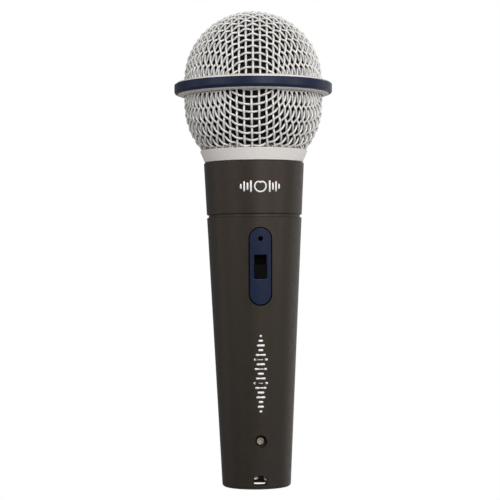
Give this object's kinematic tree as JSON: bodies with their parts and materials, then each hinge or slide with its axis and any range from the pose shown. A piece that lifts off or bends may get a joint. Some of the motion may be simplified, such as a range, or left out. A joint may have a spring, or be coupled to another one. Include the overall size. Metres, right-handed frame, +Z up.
{
  "type": "dynamic microphone",
  "caption": "Hand-held dynamic microphone: tapered handle with a slide switch, woven-wire ball head that unscrews, and an XLR socket in the foot.",
  "frame": {"origin": "centre of the bottom rim, on the plane the microphone stands on", "axes": "+Z up the microphone's axis to the ball, -Y towards the switch, +X to the right seen from the switch side"},
  "size_m": [0.0568, 0.0568, 0.1706],
  "materials": {
    "handle_paint": "fine-grained semi-gloss dark grey paint",
    "collar_silver": "fine metallic silver paint, satin",
    "mesh_wire": "bright nickel-plated woven wire",
    "ring_silver": "silver paint, satin",
    "blue_trim": "dark blue satin paint",
    "foam_black": "open-cell dark foam, matt",
    "rubber_black": "matt",
    "capsule_plastic": "moulded, matt",
    "capsule_metal": "turned, satin",
    "felt_grey": "felt",
    "film_clear": "thin polyester film",
    "coil_copper": "enamelled copper wire",
    "iron": "plated soft iron",
    "magnet_grey": "sintered magnet, plated",
    "board_brown": "phenolic board",
    "contact_metal": "plated contact metal",
    "pin_silver": "silver-plated brass",
    "knob_black": "ribbed black plastic",
    "switch_plastic": "moulded black plastic",
    "steel": "pressed and plated",
    "screw_nickel": "nickel plate",
    "screw_black": "blackened steel",
    "insert_black": "moulded black plastic",
    "lead_red": "insulated lead",
    "lead_black": "insulated lead"
  },
  "bodies": {
    "handle": {"lower_handle": "handle_paint", "upper_sleeve": "handle_paint", "shock_mount": "rubber_black", "capsule_housing": "capsule_plastic", "yoke": "iron", "magnet": "magnet_grey", "pole_plate": "iron", "capsule_front_cap": "capsule_metal", "capsule_cloth": "felt_grey", "rear_felt": "felt_grey", "capsule_terminal_board": "board_brown", "capsule_terminals": "contact_metal", "switch_plate": "blue_trim", "switch_plate_screw": "screw_black", "switch_frame": "steel", "switch_body": "switch_plastic", "switch_terminals": "contact_metal", "xlr_retaining_screw": "screw_nickel", "xlr_insert": "insert_black", "xlr_pin_1": "pin_silver", "xlr_pin_2": "pin_silver", "xlr_pin_3": "pin_silver", "xlr_ground_tag": "contact_metal", "lead_capsule_hot": "lead_red", "lead_capsule_cold": "lead_black", "lead_pin_2": "lead_red", "lead_pin_3": "lead_black"},
    "knob": {"switch_knob": "knob_black", "switch_slider": "switch_plastic", "switch_contact": "contact_metal"},
    "foam": {"windscreen_foam": "foam_black"},
    "grille_head": {"grille_collar": "collar_silver", "grille_bowl_mesh": "mesh_wire", "grille_dome_mesh": "mesh_wire", "grille_ring_core": "ring_silver", "grille_band": "blue_trim"},
    "moving_coil": {"voice_coil": "coil_copper", "capsule_diaphragm": "film_clear"}
  },
  "joints": [
    {"name": "knob_slide", "type": "slide", "parent": "handle", "child": "knob", "axis": [0, -0.0494, 0.9988], "range_m": [0, 0.0032]},
    {"name": "head_lift", "type": "slide", "parent": "handle", "child": "foam", "axis": [0, 0, 1], "range_m": [0, 0.0045]},
    {"name": "head_turn", "type": "hinge", "parent": "foam", "child": "grille_head", "pos_m": [0, 0, 0], "axis": [0, 0, 1], "range_deg": [0, 1080]},
    {"name": "coil_slide", "type": "slide", "parent": "handle", "child": "moving_coil", "axis": [0, 0, 1], "range_m": [-0.0003, 0.0003], "stiffness_N_per_m": 50}
  ],
  "couplings": [
    {"joint": "head_lift", "follows": "head_turn", "m_per_rad": 0.00023873}
  ]
}
